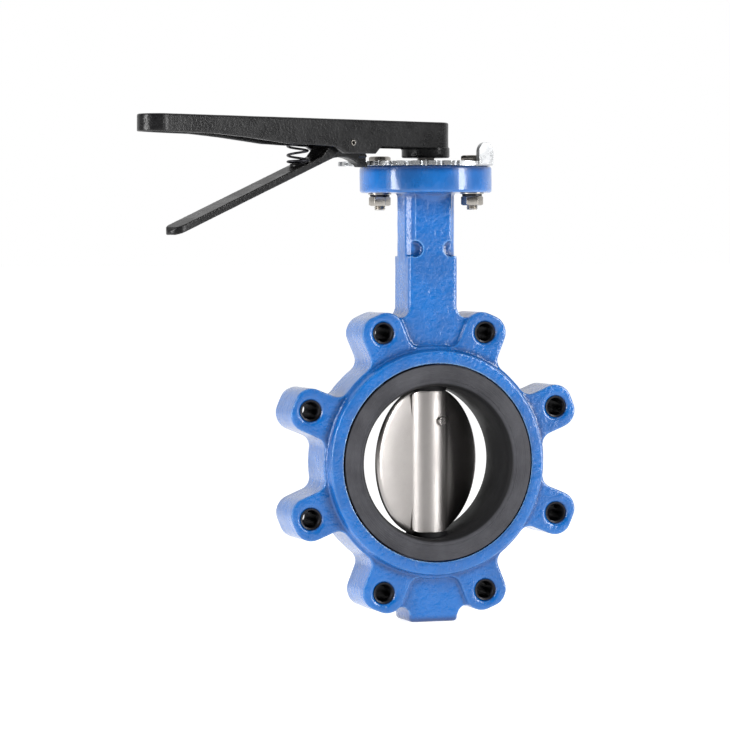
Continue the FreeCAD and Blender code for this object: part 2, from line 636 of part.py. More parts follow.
def trigger():
    """Squeeze bar, arched web and locking finger, hinged in the lever's channel."""
    thick = TRIGGER_THICK
    end = TRIGGER_END
    bar = [(102, bar_line(102)), (end - 1.5, bar_line(end - 1.5))]
    bar += [(end, bar_line(end, 1.5)), (end, bar_line(end, 3.4))]
    bar += [(end - 2, bar_line(end - 2, thick)), (112, bar_line(112, thick)), (101, 217)]
    bar += [(PIVOT_L, 217), (PIVOT_L, 210.2), (96, 209.2)]
    nose = cyl(TRIGGER_HALF, 100, Vec(end - TRIGGER_HALF, 0, 110))
    tail = box(PIVOT_L - 5, end - TRIGGER_HALF, -TRIGGER_HALF - 1, TRIGGER_HALF + 1, 110, 230)
    bar = side_plate(bar, TRIGGER_HALF).common(nose.fuse(tail).removeSplitter())
    arch = [(61.6, 199.6), (63.8, 208.0), (70.0, 212.5), (78.0, 217.0), (100.0, 217.0), (106.0, 206.0)]
    arch += [(103.0, 204.3), (100.6, 204.3), (95.7, 205.4), (90.8, 206.0), (85.9, 206.0)]
    arch += [(80.9, 205.3), (76.0, 203.8), (73.0, 202.2), (70.2, 199.6)]
    arch = side_plate(arch, WEB_HALF_WIDTH)
    for side in (-1, 1):
        low, high = sorted((side * FINGER_HALF_WIDTH, side * TRIGGER_HALF))
        arch = arch.cut(box(50, FINGER_L, low, high, 190, 206.5))
    boss = cyl(TRIGGER_BOSS_R, 2 * TRIGGER_HALF, Vec(PIVOT_L, -TRIGGER_HALF, PIVOT_Z), Y_AXIS)
    bar = bar.cut(cyl(SPRING_R + SPRING_WIRE_R + 0.4, 9, Vec(SPRING_L, 0, spring_foot() - 0.1)))
    seat = cyl(SPRING_R - SPRING_WIRE_R - 0.5, 4.5, Vec(SPRING_L, 0, bar_line(SPRING_L, 1.0)))
    lever = bar.fuse([arch, boss, seat]).removeSplitter()
    pin_hole = cyl(PIVOT_PIN_R + RUNNING_FIT, 40, Vec(PIVOT_L, -20, PIVOT_Z), Y_AXIS)
    return along_lever(lever.cut(pin_hole))


def trigger_pivot_pin():
    """Rolled spring pin with its slit, through both walls of the lever."""
    length = 2 * lever_half_width(PIVOT_L) + 0.6
    start = Vec(PIVOT_L, -length / 2, PIVOT_Z)
    pin = cyl(PIVOT_PIN_R, length, start, Y_AXIS).cut(cyl(1.2, length, start, Y_AXIS))
    slit = Part.makeBox(0.5, length, 4, start - Vec(0.25, 0, 0))
    return along_lever(pin.cut(slit))


def trigger_spring():
    """Compression spring between the squeeze bar and the lever's channel."""
    bottom = spring_foot() + SPRING_WIRE_R
    top = LEVER_TOP - LEVER_SKIN - 1.2
    helix = Part.makeHelix((top - bottom) / SPRING_TURNS, top - bottom, SPRING_R)
    start = Vec(SPRING_R, 0, 0)
    wire = Part.Wire(Part.makeCircle(SPRING_WIRE_R, start, Y_AXIS))
    coil = Part.Wire(helix).makePipeShell([wire], True, True)
    coil.translate(Vec(SPRING_L, 0, bottom))
    return along_lever(coil)


PIECES = {
    "valve_body": valve_body,
    "seat_liner": seat_liner,
    "neck_bushing": neck_bushing,
    "upper_bushing": upper_bushing,
    "lower_bushing": lower_bushing,
    "stem_orings": stem_orings,
    "weather_seal": weather_seal,
    "thrust_washer": thrust_washer,
    "bottom_plug": bottom_plug,
    "plug_seal": plug_seal,
    "index_plate": index_plate,
    "plate_bolts": plate_bolts,
    "plate_nuts": plate_nuts,
    "plate_washers": plate_washers,
    "plate_spring_washers": plate_spring_washers,
    "stem": stem,
    "disc": disc,
    "taper_pin": taper_pin,
    "stem_circlip": stem_circlip,
    "lever_handle": lever_handle,
    "lever_washer": lever_washer,
    "lever_screw": lever_screw,
    "trigger_pivot_pin": trigger_pivot_pin,
    "trigger_spring": trigger_spring,
    "trigger": trigger,
}

os.makedirs("parts", exist_ok=True)
for name, make in PIECES.items():
    shape = make()
    shape.exportStep(f"parts/{name}.step")
    solids = len(shape.Solids)
    print(f"{name:22s} solids {solids} volume {shape.Volume:11.1f} valid {shape.isValid()}")
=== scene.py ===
"""Looks of a lug-type butterfly valve with a squeeze-trigger notch lever, around its fixed frame."""

import json
import math

import bmesh
import bpy
from bpy.props import FloatProperty, FloatVectorProperty, IntProperty, PointerProperty
from bpy.types import Operator, Panel, PropertyGroup
from mathutils import Matrix, Vector


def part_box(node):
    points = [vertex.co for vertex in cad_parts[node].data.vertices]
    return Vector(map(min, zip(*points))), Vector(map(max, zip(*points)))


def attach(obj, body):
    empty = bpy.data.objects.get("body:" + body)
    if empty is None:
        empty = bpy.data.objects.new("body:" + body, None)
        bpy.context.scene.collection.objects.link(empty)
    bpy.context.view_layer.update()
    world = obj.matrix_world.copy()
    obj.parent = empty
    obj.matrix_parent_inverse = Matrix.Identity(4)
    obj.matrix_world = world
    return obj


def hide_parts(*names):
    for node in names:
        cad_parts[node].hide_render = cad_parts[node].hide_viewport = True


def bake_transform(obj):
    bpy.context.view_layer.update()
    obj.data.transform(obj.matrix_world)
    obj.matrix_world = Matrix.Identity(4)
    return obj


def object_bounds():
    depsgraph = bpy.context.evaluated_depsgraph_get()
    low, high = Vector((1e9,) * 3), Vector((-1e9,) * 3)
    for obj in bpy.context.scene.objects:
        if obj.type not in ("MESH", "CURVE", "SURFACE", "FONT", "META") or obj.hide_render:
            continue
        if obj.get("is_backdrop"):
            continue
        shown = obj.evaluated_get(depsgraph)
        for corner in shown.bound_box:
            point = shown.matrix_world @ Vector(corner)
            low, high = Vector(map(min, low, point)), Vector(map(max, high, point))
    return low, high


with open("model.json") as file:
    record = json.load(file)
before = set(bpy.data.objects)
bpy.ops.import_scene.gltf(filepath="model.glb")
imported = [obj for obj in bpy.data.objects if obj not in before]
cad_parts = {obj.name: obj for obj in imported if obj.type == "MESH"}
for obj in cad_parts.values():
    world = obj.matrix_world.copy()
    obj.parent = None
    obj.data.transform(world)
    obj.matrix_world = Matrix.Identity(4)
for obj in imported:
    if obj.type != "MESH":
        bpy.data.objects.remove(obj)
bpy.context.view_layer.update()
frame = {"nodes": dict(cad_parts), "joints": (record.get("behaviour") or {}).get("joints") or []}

bl_info = {
    "name": "Lug Butterfly Valve",
    "version": (1, 0, 0),
    "blender": (4, 5, 0),
    "location": "View3D > Sidebar > Valve",
    "description": "Castings, rubber, fasteners and finishes of a lever-operated butterfly valve",
    "category": "Object",
}

MM = 0.001
FULL_TURN = 2 * math.pi
X_AXIS = Vector((1, 0, 0))
Y_AXIS = Vector((0, 1, 0))
Z_AXIS = Vector((0, 0, 1))

JOINTS = {joint["name"]: joint for joint in frame["joints"]}
PIVOT = Vector(JOINTS["trigger_squeeze"]["pos_m"])
LEVER_ANGLE = math.atan2(PIVOT.y, PIVOT.x)
DISC_ANGLE = LEVER_ANGLE - math.pi

FLANGE_HOLES = (45, 135, 225, 315)
BOLTED_HOLES = (135, 315)
THREAD_ROWS = 6


# ---- settings that a user would change --------------------------------------------------
def length(name, description, default):
    return FloatProperty(
        name=name, description=description, default=default, min=0.0, unit="LENGTH", precision=5
    )


def angle(name, description, degrees):
    return FloatProperty(
        name=name, description=description, default=math.radians(degrees), unit="ROTATION"
    )


def colour(name, description, default):
    return FloatVectorProperty(
        name=name, description=description, default=default, size=3, min=0.0, max=1.0, subtype="COLOR"
    )


class ValveSizes(PropertyGroup):
    body_voxel: length("Body voxel", "Cell of the mesh that rounds the body's cast edges", 0.8 * MM)
    lever_voxel: length("Lever voxel", "Cell of the mesh that rounds the lever's cast edges", 0.55 * MM)
    body_lumps: length("Body lumps", "Unevenness of the cast body", 0.35 * MM)
    lever_lumps: length("Lever lumps", "Unevenness of the cast lever", 0.12 * MM)
    lug_circle: length("Lug circle", "Diameter of the circle through the lug holes", 190.5 * MM)
    lug_thread: length("Lug thread", "Diameter of the lug holes at their thread crests", 11.4 * MM)
    lug_pitch: length("Lug pitch", "Thread pitch of the lug holes, 11 to the inch", 25.4 * MM / 11)
    lug_thread_depth: length("Lug thread depth", "Height of the lug holes' thread", 0.7 * MM)
    lug_drill: length("Lug drill", "Diameter of the lug holes under the thread", 13.6 * MM)
    lug_half_thick: length("Lug half thickness", "From the middle plane to a lug's face", 19.0 * MM)
    body_bore: length("Body bore", "Diameter of the body's bore behind the seat", 121.0 * MM)
    seat_pocket: length("Seat pocket", "Diameter of the recess for the seat's lip", 135.2 * MM)
    pocket_floor: length("Pocket floor", "From the middle plane to the recess's floor", 20.5 * MM)
    housing: length("Housing", "Diameter of the bores for bushings and plug", 22.0 * MM)
    seat_bore: length("Seat bore", "Diameter of the waterway", 103.6 * MM)
    seat_lip: length("Seat lip", "Outer diameter of the seat's lips", 132.8 * MM)
    seat_face: length("Seat face", "From the middle plane to a lip's face", 27.5 * MM)
    seat_flat: length("Seat flat", "From the centre to the flat round each stem port", 48.3 * MM)
    seat_pad: length("Seat pad", "Diameter of those flats", 28.0 * MM)
    stem: length("Stem", "Diameter of the stem", 16.0 * MM)
    bolt_circle: length("Bolt circle", "Diameter of the top flange's bolt circle", 70.0 * MM)
    flange_hole: length("Flange hole", "Diameter of the top flange's holes", 9.2 * MM)
    bolt: length("Bolt", "Thread diameter of the plate's bolts", 8.0 * MM)
    bolt_pitch: length("Bolt pitch", "Thread pitch of the plate's bolts", 1.25 * MM)
    across_flats: length("Across flats", "Width of the bolt heads and nuts", 13.0 * MM)
    bolt_turn: angle("Bolt turn", "How far the hexagons happen to be turned", 12.0)
    spring_wire: length("Spring wire", "Wire diameter of the trigger's spring", 1.6 * MM)
    spring_turns: FloatProperty(
        name="Spring turns", description="Open turns of the trigger's spring", default=3.5, min=1.0
    )
    turn_steps: IntProperty(
        name="Turn steps", description="Facets in a full turn of a small round part", default=48, min=12
    )


class ValveFinishes(PropertyGroup):
    paint: colour("Paint", "Blue epoxy on the body", (0.0, 0.122, 0.43))
    # Besides the pooled patches, this colour is the painted shade in the body's hollows.
    paint_pooled_and_shade: colour("Pooled paint and shade", "Blue epoxy where it has pooled", (0.0, 0.035, 0.16))
    # Painted highlight: lighter blue laid on the body's outer edges for the light line along them.
    paint_edge_highlight: colour("Edge highlight paint", "Blue epoxy drawn thin over an edge", (0.16, 0.36, 0.66))
    rubber: colour("Rubber", "Seat and seals", (0.035, 0.035, 0.040))
    rubber_worn: colour("Worn rubber", "Dry bloom on the rubber", (0.085, 0.085, 0.095))
    stainless: colour("Stainless", "Disc and stem", (0.37, 0.350, 0.338))
    zinc: colour("Zinc", "Index plate", (0.50, 0.51, 0.52))
    zinc_dull: colour("Dull zinc", "Bolts, nuts and washers", (0.44, 0.415, 0.38))
    bronze: colour("Bronze", "Stem bushings", (0.55, 0.36, 0.14))
    black: colour("Black coating", "Lever and trigger", (0.006, 0.006, 0.0065))
    # Besides the rubbed edges, this colour is the dust and painted top light on what faces up.
    black_worn_and_top_lit: colour("Worn and top-lit black", "Coating rubbed thin on edges", (0.06, 0.055, 0.05))
    # Painted shade: darker rubber for the shade inside the seat's bore.
    rubber_bore_shade: colour("Bore shade rubber", "The seat's bore", (0.010, 0.010, 0.011))
    oxide: colour("Black oxide", "Screw, washer, pin and spring", (0.035, 0.035, 0.040))


class ValveStudio(PropertyGroup):
    orbit: angle("Orbit", "How far round to the left the camera stands", 19.08)
    distance: length("Distance", "Camera to stem axis, along the ground", 2.4577)
    height: length("Height", "Camera above the bore's centre", 0.1523)
    pitch: angle("Pitch", "Camera tilt below the horizon", 2.02)
    pan: angle("Pan", "Camera turn to the left", 0.97)
    roll: angle("Roll", "Camera roll", -0.13)
    lens: FloatProperty(name="Lens", description="Focal length in millimetres", default=177.4, min=1.0)
    backdrop: colour("Backdrop", "Floor and background", (1.0, 1.0, 1.0))


# ---- shader nodes -----------------------------------------------------------------------
def add(tree, kind, inputs=None, **settings):
    """New node with its settings; each input is a value or the socket that feeds it."""
    node = tree.nodes.new(kind)
    for name, value in settings.items():
        setattr(node, name, value)
    for key, value in (inputs or {}).items():
        if isinstance(value, bpy.types.NodeSocket):
            tree.links.new(value, node.inputs[key])
        else:
            node.inputs[key].default_value = value
    return node


def maths(tree, operation, first, second=0.0, clamp=False):
    node = add(tree, "ShaderNodeMath", {0: first, 1: second}, operation=operation, use_clamp=clamp)
    return node.outputs[0]


def between(tree, value, low, high, to_low=0.0, to_high=1.0):
    """Smooth step of a value from one range to another."""
    inputs = {"Value": value, "From Min": low, "From Max": high, "To Min": to_low, "To Max": to_high}
    node = add(tree, "ShaderNodeMapRange", inputs, interpolation_type="SMOOTHSTEP")
    return node.outputs["Result"]


def mixed(tree, factor, first, second):
    """Colour between two colours, each a colour tuple or a socket."""
    inputs = {"Factor": factor}
    node = add(tree, "ShaderNodeMix", inputs, data_type="RGBA")
    for index, value in ((6, first), (7, second)):
        if isinstance(value, bpy.types.NodeSocket):
            tree.links.new(value, node.inputs[index])
        else:
            node.inputs[index].default_value = (*value, 1.0)
    return node.outputs[2]


def noise(tree, scale, detail=3.0, roughness=0.55, vector=None):
    inputs = {"Scale": scale, "Detail": detail, "Roughness": roughness}
    inputs["Vector"] = vector or add(tree, "ShaderNodeTexCoord").outputs["Object"]
    return add(tree, "ShaderNodeTexNoise", inputs).outputs["Fac"]


def new_group(name, inputs, outputs):
    """Empty node group; gives its tree, its input node and its output node."""
    tree = bpy.data.node_groups.new(name, "ShaderNodeTree")
    for title, default in inputs.items():
        socket = tree.interface.new_socket(title, in_out="INPUT", socket_type="NodeSocketFloat")
        socket.default_value = default
    for title in outputs:
        tree.interface.new_socket(title, in_out="OUTPUT", socket_type="NodeSocketFloat")
    return tree, tree.nodes.new("NodeGroupInput"), tree.nodes.new("NodeGroupOutput")


def use_group(tree, name, **inputs):
    node = add(tree, "ShaderNodeGroup", node_tree=bpy.data.node_groups[name])
    for title, value in inputs.items():
        node.inputs[title].default_value = value
    return node


def cast_skin_group():
    """Sand-cast skin under paint: orange peel, small lumps and broad patches."""
    tree, given, result = new_group("cast_skin", {"Scale": 600.0}, ("Height", "Patch"))
    scale = given.outputs["Scale"]
    where = add(tree, "ShaderNodeTexCoord").outputs["Object"]
    peel = noise(tree, scale, 2.0, 0.5, where)
    lump_scale = maths(tree, "MULTIPLY", scale, 0.45)
    lumps = add(tree, "ShaderNodeTexVoronoi", {"Vector": where, "Scale": lump_scale}, feature="SMOOTH_F1")
    lumps.inputs["Smoothness"].default_value = 1.0
    rounded = maths(tree, "MULTIPLY", lumps.outputs["Distance"], 0.8)
    tree.links.new(maths(tree, "ADD", peel, rounded), result.inputs["Height"])
    patch_scale = maths(tree, "MULTIPLY", scale, 0.05)
    patch = between(tree, noise(tree, patch_scale, 4.0, 0.6, where), 0.35, 0.65)
    tree.links.new(patch, result.inputs["Patch"])


def edge_masks_and_shade_group():
    """Masks of outer edges, broken up by noise, and of hollows; the hollow mask is painted shade, and the
    edge mask is painted highlight on the body and wear on the lever.
    """
    tree, given, result = new_group("edge_masks_and_shade", {"Radius": 0.001, "Breakup": 300.0}, ("Edge", "HollowShade"))
    rounded = add(tree, "ShaderNodeBevel", {"Radius": given.outputs["Radius"]}, samples=6)
    flat = add(tree, "ShaderNodeNewGeometry")
    inputs = {0: rounded.outputs["Normal"], 1: flat.outputs["Normal"]}
    match = add(tree, "ShaderNodeVectorMath", inputs, operation="DOT_PRODUCT").outputs["Value"]
    turned = between(tree, maths(tree, "SUBTRACT", 1.0, match), 0.002, 0.05)
    pointed = between(tree, flat.outputs["Pointiness"], 0.495, 0.53)
    reach = maths(tree, "MULTIPLY", given.outputs["Radius"], 3.0)
    # Painted shade: ambient occlusion marks the hollows to be darkened.
    shut_in = add(tree, "ShaderNodeAmbientOcclusion", {"Distance": reach}, samples=6).outputs["AO"]
    hollow_shade = between(tree, shut_in, 0.97, 0.70)
    broken = between(tree, noise(tree, given.outputs["Breakup"], 5.0, 0.65), 0.28, 0.55)
    outer = maths(tree, "MULTIPLY", turned, pointed)
    tree.links.new(maths(tree, "MULTIPLY", outer, broken), result.inputs["Edge"])
    tree.links.new(hollow_shade, result.inputs["HollowShade"])


def dust_and_top_light_group():
    """Thin dust on what faces up, in patches, which also paints the light falling on top faces."""
    tree, given, result = new_group("dust_and_top_light", {"Scale": 90.0}, ("DustAndTopLight",))
    facing = add(tree, "ShaderNodeNewGeometry").outputs["Normal"]
    up = add(tree, "ShaderNodeSeparateXYZ", {0: facing}).outputs["Z"]
    high = between(tree, up, 0.25, 0.95)
    patches = between(tree, noise(tree, given.outputs["Scale"], 5.0, 0.6), 0.30, 0.70)
    tree.links.new(maths(tree, "MULTIPLY", high, patches), result.inputs["DustAndTopLight"])


def lathe_rings_group():
    """Fine rings round the pipe's axis, as a mould or a lathe leaves them."""
    tree, given, result = new_group("lathe_rings", {"Spacing": 0.0012}, ("Height",))
    where = add(tree, "ShaderNodeTexCoord").outputs["Object"]
    parts = add(tree, "ShaderNodeSeparateXYZ", {0: where})
    across = maths(tree, "POWER", parts.outputs["X"], 2.0)
    upward = maths(tree, "POWER", parts.outputs["Z"], 2.0)
    radius = maths(tree, "SQRT", maths(tree, "ADD", across, upward))
    count = maths(tree, "DIVIDE", radius, given.outputs["Spacing"])
    wave = maths(tree, "SINE", maths(tree, "MULTIPLY", count, FULL_TURN))
    tree.links.new(wave, result.inputs["Height"])


def fine_grain_group():
    """Even fine grain of a blasted or plated surface, with faint cloudy patches."""
    tree, given, result = new_group("fine_grain", {"Scale": 2500.0}, ("Height", "Cloud"))
    grain = noise(tree, given.outputs["Scale"], 2.0, 0.6)
    tree.links.new(grain, result.inputs["Height"])
    cloud_scale = maths(tree, "MULTIPLY", given.outputs["Scale"], 0.02)
    cloud = between(tree, noise(tree, cloud_scale, 6.0, 0.62), 0.30, 0.70)
    tree.links.new(cloud, result.inputs["Cloud"])


def bump(tree, height, distance, normal=None):
    inputs = {"Height": height, "Distance": distance, "Strength": 1.0}
    if normal is not None:
        inputs["Normal"] = normal
    return add(tree, "ShaderNodeBump", inputs).outputs["Normal"]


def new_material(name):
    """Material with one Principled shader; gives the material, its tree and the shader."""
    material = bpy.data.materials.new(name)
    material.use_nodes = True
    tree = material.node_tree
    tree.nodes.clear()
    shader = tree.nodes.new("ShaderNodeBsdfPrincipled")
    output = tree.nodes.new("ShaderNodeOutputMaterial")
    tree.links.new(shader.outputs["BSDF"], output.inputs["Surface"])
    return material, tree, shader


def feed(tree, shader, **sockets):
    """Feeds the shader: a socket is linked, a plain value is set on the shader itself."""
    names = {"base": "Base Color", "rough": "Roughness", "metal": "Metallic", "normal": "Normal"}
    names.update(coat="Coat Weight", coat_rough="Coat Roughness", coat_normal="Coat Normal")
    names.update(specular="Specular IOR Level")
    for short, value in sockets.items():
        socket = shader.inputs[names[short]]
        if isinstance(value, bpy.types.NodeSocket):
            tree.links.new(value, socket)
        elif isinstance(value, float):
            socket.default_value = value
        else:
            socket.default_value = (*value, 1.0)


# ---- finishes ---------------------------------------------------------------------------
def blue_epoxy(tints):
    """Gloss epoxy over a sand casting; the top flange above the neck is smooth."""
    material, tree, shader = new_material("blue_epoxy")
    skin = use_group(tree, "cast_skin", Scale=520.0)
    fine = use_group(tree, "fine_grain", Scale=1100.0)
    edge_masks = use_group(tree, "edge_masks_and_shade", Radius=1.8 * MM, Breakup=260.0)
    pooled = maths(tree, "MULTIPLY", skin.outputs["Patch"], 0.35)
    base = mixed(tree, pooled, tints.paint, tints.paint_pooled_and_shade)
    # Painted shade: hollows found by ambient occlusion take the deep blue.
    base = mixed(tree, edge_masks.outputs["HollowShade"], base, tints.paint_pooled_and_shade)
    # Painted highlight: the body's outer edges take the lighter blue.
    base = mixed(tree, maths(tree, "MULTIPLY", edge_masks.outputs["Edge"], 0.9), base, tints.paint_edge_highlight)
    rough = between(tree, skin.outputs["Patch"], 0.0, 1.0, 0.24, 0.34)
    where = add(tree, "ShaderNodeTexCoord").outputs["Object"]
    upright = add(tree, "ShaderNodeSeparateXYZ", {0: where}).outputs["Z"]
    as_cast = between(tree, upright, 180 * MM, 184 * MM, 1.0, 0.12)
    lumps = maths(tree, "MULTIPLY", skin.outputs["Height"], as_cast)
    grains = maths(tree, "MULTIPLY", fine.outputs["Height"], as_cast)
    lumpy = bump(tree, lumps, 0.32 * MM)
    normal = bump(tree, grains, 0.10 * MM, lumpy)
    feed(tree, shader, base=base, rough=rough, normal=normal, specular=0.4)
    feed(tree, shader, coat=0.6, coat_rough=0.08, coat_normal=normal)
    return material


def seat_rubber(tints):
    """Moulded rubber with faint rings and a dry bloom; its bore is darker, as painted shade."""
    material, tree, shader = new_material("seat_rubber")
    rings = use_group(tree, "lathe_rings", Spacing=1.3 * MM)
    grain = use_group(tree, "fine_grain", Scale=1600.0)
    bloom = maths(tree, "MULTIPLY", grain.outputs["Cloud"], 0.7)
    where = add(tree, "ShaderNodeTexCoord").outputs["Object"]
    along = add(tree, "ShaderNodeSeparateXYZ", {0: where}).outputs["Y"]
    on_face = between(tree, maths(tree, "ABSOLUTE", along), 25.6 * MM, 27.2 * MM)
    base = mixed(tree, bloom, tints.rubber, tints.rubber_worn)
    # Painted shade: the bore, inside the lip faces, takes the darker rubber.
    base = mixed(tree, on_face, tints.rubber_bore_shade, base)
    rough = between(tree, grain.outputs["Cloud"], 0.0, 1.0, 0.52, 0.66)
    normal = bump(tree, grain.outputs["Height"], 0.03 * MM)
    normal = bump(tree, rings.outputs["Height"], 0.04 * MM, normal)
    feed(tree, shader, base=base, rough=rough, normal=normal, specular=0.16)
    return material


def seal_rubber(tints):
    material, tree, shader = new_material("seal_rubber")
    grain = use_group(tree, "fine_grain", Scale=2200.0)
    base = mixed(tree, grain.outputs["Cloud"], tints.rubber, tints.rubber_worn)
    normal = bump(tree, grain.outputs["Height"], 0.02 * MM)
    feed(tree, shader, base=base, rough=0.45, normal=normal)
    return material


def disc_stainless(tints):
    """Blasted stainless casting with a smoother sealing rim."""
    material, tree, shader = new_material("disc_stainless")
    grain = use_group(tree, "fine_grain", Scale=1900.0)
    where = add(tree, "ShaderNodeTexCoord").outputs["Object"]
    unturned = add(tree, "ShaderNodeMapping", {"Vector": where}, vector_type="TEXTURE")
    unturned.inputs["Rotation"].default_value = (0.0, 0.0, DISC_ANGLE)
    parts = add(tree, "ShaderNodeSeparateXYZ", {0: unturned.outputs[0]})
    across = maths(tree, "POWER", parts.outputs["X"], 2.0)
    upward = maths(tree, "POWER", parts.outputs["Z"], 2.0)
    radius = maths(tree, "SQRT", maths(tree, "ADD", across, upward))
    rim = between(tree, radius, 48.4 * MM, 48.8 * MM)
    matt = between(tree, grain.outputs["Cloud"], 0.0, 1.0, 0.38, 0.46)
    rough = add(tree, "ShaderNodeMix", {0: rim, 2: matt, 3: 0.30}).outputs[0]
    dull = tuple(0.86 * part for part in tints.stainless)
    base = mixed(tree, maths(tree, "MULTIPLY", grain.outputs["Cloud"], 0.5), tints.stainless, dull)
    depth = maths(tree, "MULTIPLY", grain.outputs["Height"], maths(tree, "SUBTRACT", 1.0, rim))
    normal = bump(tree, depth, 0.12 * MM)
    feed(tree, shader, base=base, rough=rough, normal=normal, metal=1.0)
    return material


def plain_metal(name, tint, rough, scale, depth):
    """Metal with fine grain and cloudy patches."""
    material, tree, shader = new_material(name)
    grain = use_group(tree, "fine_grain", Scale=scale)
    dull = tuple(0.72 * part for part in tint)
    base = mixed(tree, maths(tree, "MULTIPLY", grain.outputs["Cloud"], 0.6), tint, dull)
    matt = between(tree, grain.outputs["Cloud"], 0.0, 1.0, rough, rough + 0.14)
    normal = bump(tree, grain.outputs["Height"], depth)
    feed(tree, shader, base=base, rough=matt, normal=normal, metal=1.0)
    return material


def black_coat(tints):
    """Semi-gloss black coating over a fine casting, rubbed thin on its edges."""
    material, tree, shader = new_material("black_coat")
    skin = use_group(tree, "cast_skin", Scale=900.0)
    edge_masks = use_group(tree, "edge_masks_and_shade", Radius=0.9 * MM, Breakup=420.0)
    dust_and_top_light = use_group(tree, "dust_and_top_light", Scale=140.0)
    base = mixed(tree, maths(tree, "MULTIPLY", edge_masks.outputs["Edge"], 0.6), tints.black, tints.black_worn_and_top_lit)
    # Dust and painted top light: what faces up is lightened towards the worn black.
    base = mixed(tree, maths(tree, "MULTIPLY", dust_and_top_light.outputs["DustAndTopLight"], 0.12), base, tints.black_worn_and_top_lit)
    rough = between(tree, skin.outputs["Patch"], 0.0, 1.0, 0.26, 0.36)
    normal = bump(tree, skin.outputs["Height"], 0.16 * MM)
    feed(tree, shader, base=base, rough=rough, normal=normal, specular=0.25)
    return material


def make_finishes(tints):
    """All materials by the name of the slot that they finish."""
    for group in (cast_skin_group, edge_masks_and_shade_group, dust_and_top_light_group, lathe_rings_group, fine_grain_group):
        group()
    made = [blue_epoxy(tints), seat_rubber(tints), seal_rubber(tints), disc_stainless(tints)]
    made += [black_coat(tints)]
    made += [plain_metal("stem_steel", tints.stainless, 0.24, 1500.0, 0.02 * MM)]
    made += [plain_metal("zinc_plate", tints.zinc, 0.24, 2600.0, 0.015 * MM)]
    made += [plain_metal("zinc_steel", tints.zinc_dull, 0.17, 2200.0, 0.02 * MM)]
    made += [plain_metal("bearing_bronze", tints.bronze, 0.26, 1500.0, 0.02 * MM)]
    made += [plain_metal("black_oxide", tints.oxide, 0.34, 2400.0, 0.02 * MM)]
    return {material.name: material for material in made}


# ---- meshes -----------------------------------------------------------------------------
def finished(mesh_data, name, slot, sharp_degrees=35.0):
    """Object at the origin from a bmesh, smooth but for its sharp edges, in its finish."""
    bmesh.ops.remove_doubles(mesh_data, verts=mesh_data.verts, dist=1e-7)
    mesh = bpy.data.meshes.new(name)
    mesh_data.to_mesh(mesh)
    mesh_data.free()
    mesh.shade_smooth()
    mesh.set_sharp_from_angle(angle=math.radians(sharp_degrees))
    mesh.materials.append(bpy.data.materials[slot])
    piece = bpy.data.objects.new(name, mesh)
    bpy.context.scene.collection.objects.link(piece)
    return piece


def install(piece, body, slot, *nodes):
    """Puts a finished piece in the place of its CAD nodes."""
    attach(piece, body)
    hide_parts(*nodes)


def merged_copy(node):
    """The node's faces as one joined bmesh; the node itself stays as it is."""
    copy = bmesh.new()
    copy.from_mesh(frame["nodes"][node].data)
    bmesh.ops.remove_doubles(copy, verts=copy.verts, dist=1e-6)
    return copy


def lathe(target, outline, steps, place=Matrix(), sweep=FULL_TURN, rise=0.0):
    """Turns an outline of (radius, height) points about a place's Z axis; gives the new points."""
    before = set(target.verts)
    points = [target.verts.new((radius, 0, height)) for radius, height in outline]
    edges = [target.edges.new(pair) for pair in zip(points, points[1:])]
    whole = sweep == FULL_TURN
    bmesh.ops.spin(
        target,
        geom=points + edges,
        cent=(0, 0, 0),
        axis=Z_AXIS,
        angle=sweep,
        steps=steps,
        dvec=Z_AXIS * (rise / steps),
        use_merge=whole,
        use_duplicate=False,
    )
    made = [vert for vert in target.verts if vert not in before]
    bmesh.ops.transform(target, matrix=place, verts=made)
    return made


def thread(target, low, high, crest, depth, pitch, place, steps, inside=False):
    """Screw thread between two heights on a place's Z axis, with a lead-in at each end."""
    rows = round((high - low) / pitch * THREAD_ROWS)
    outline = [(crest, low + (high - low) * row / rows) for row in range(rows + 1)]
    if not inside:
        outline = [(0, low)] + outline + [(0, high)]
    made = lathe(target, outline, steps)
    end_row = 0.01 * MM
    flare = 0.8 * MM
    for vert in made:
        phase = (vert.co.z / pitch - math.atan2(vert.co.y, vert.co.x) / FULL_TURN) % 1.0
        # 0 at the thread's root and 1 at its crest, both a little flat
        tooth = min(1.0, max(0.0, 1.3 * abs(2 * phase - 1) - 0.15))
        from_end = min(vert.co.z - low, high - vert.co.z)
        groove = max(depth * (1 - tooth), depth - from_end)
        radius = crest + groove if inside else crest - groove
        if inside and from_end < end_row:
            radius = crest + depth + flare
        vert.co.xy = vert.co.xy.normalized() * radius
    bmesh.ops.transform(target, matrix=place, verts=made)
    return made


def closed_solid(mesh_data):
    """Joins the seams of a turned solid and turns its faces outward."""
    bmesh.ops.remove_doubles(mesh_data, verts=mesh_data.verts, dist=1e-7)
    bmesh.ops.recalc_face_normals(mesh_data, faces=mesh_data.faces)


def add_cylinder(target, radius, start, end, steps):
    """Closed cylinder between two points, added to a bmesh."""
    line = Vector(end) - Vector(start)
    place = Matrix.Translation((Vector(start) + Vector(end)) / 2)
    place = place @ line.to_track_quat("Z", "Y").to_matrix().to_4x4()
    bmesh.ops.create_cone(
        target, cap_ends=True, segments=steps, radius1=radius, radius2=radius, depth=line.length, matrix=place
    )


def applied(piece):
    """Turns the piece's modifiers into its mesh."""
    graph = bpy.context.evaluated_depsgraph_get()
    mesh = bpy.data.meshes.new_from_object(piece.evaluated_get(graph))
    piece.modifiers.clear()
    piece.data = mesh


def helper_object(mesh_data, name):
    mesh = bpy.data.meshes.new(name)
    mesh_data.to_mesh(mesh)
    mesh_data.free()
    tool = bpy.data.objects.new(name, mesh)
    bpy.context.scene.collection.objects.link(tool)
    return tool


